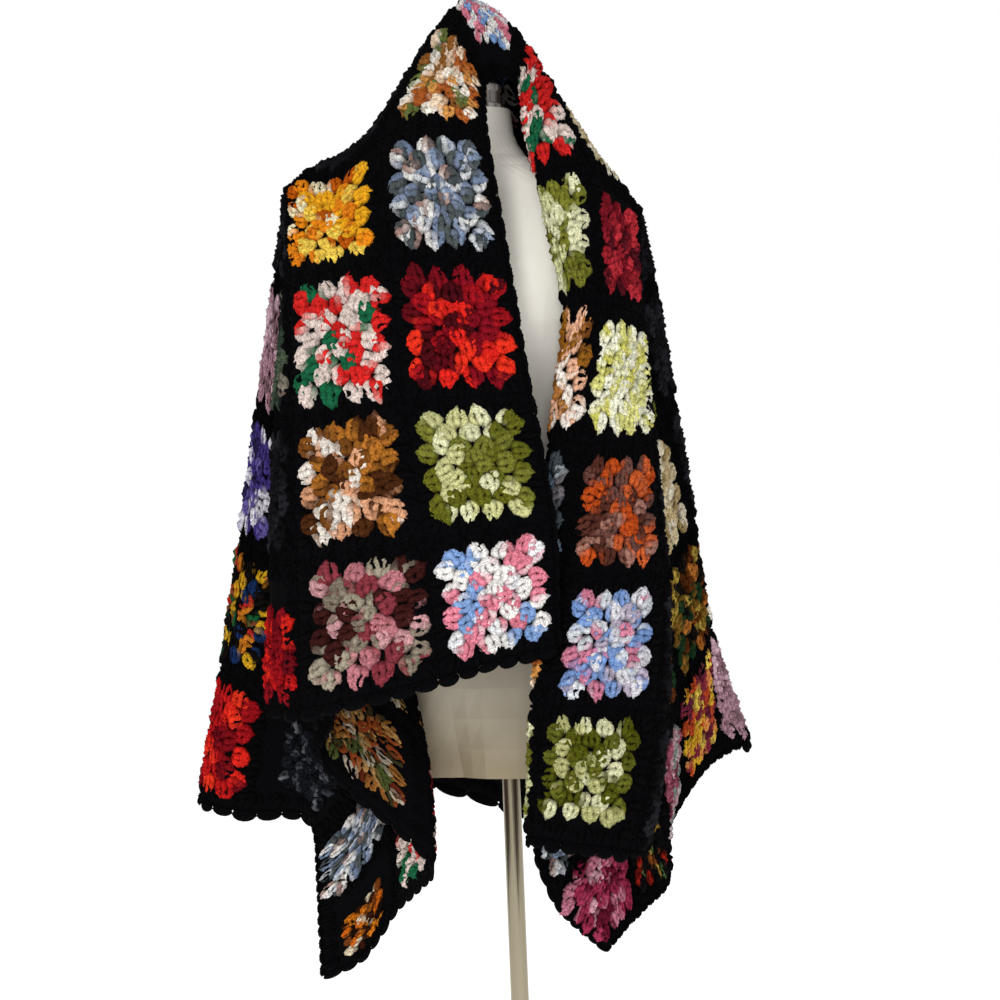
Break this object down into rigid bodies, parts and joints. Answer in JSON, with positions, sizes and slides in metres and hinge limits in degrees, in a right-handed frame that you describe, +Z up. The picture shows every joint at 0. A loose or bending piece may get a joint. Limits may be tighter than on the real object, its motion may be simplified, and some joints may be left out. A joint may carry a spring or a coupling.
{
  "type": "granny square blanket on dress form stand",
  "caption": "Crocheted patchwork blanket draped as a hooded shawl over a torso dress form on a pole stand with a round base.",
  "frame": {"origin": "centre of the round base's underside, on the floor under the pole", "axes": "+Z up the pole, -Y towards the front opening of the blanket, +X to the right seen from the front"},
  "size_m": [0.6006, 0.4346, 1.48],
  "materials": {
    "blanket_wool": "acrylic yarn, black borders and joins",
    "torso_shell": "smooth matte off-white shell",
    "cap_chrome": "polished",
    "pole_nickel": "brushed nickel",
    "base_steel": "brushed nickel"
  },
  "bodies": {
    "root": {"granny_blanket": "blanket_wool", "torso_form": "torso_shell", "neck_cap": "cap_chrome", "neck_finial": "cap_chrome", "stand_pole": "pole_nickel", "stand_base": "base_steel"}
  },
  "joints": []
}
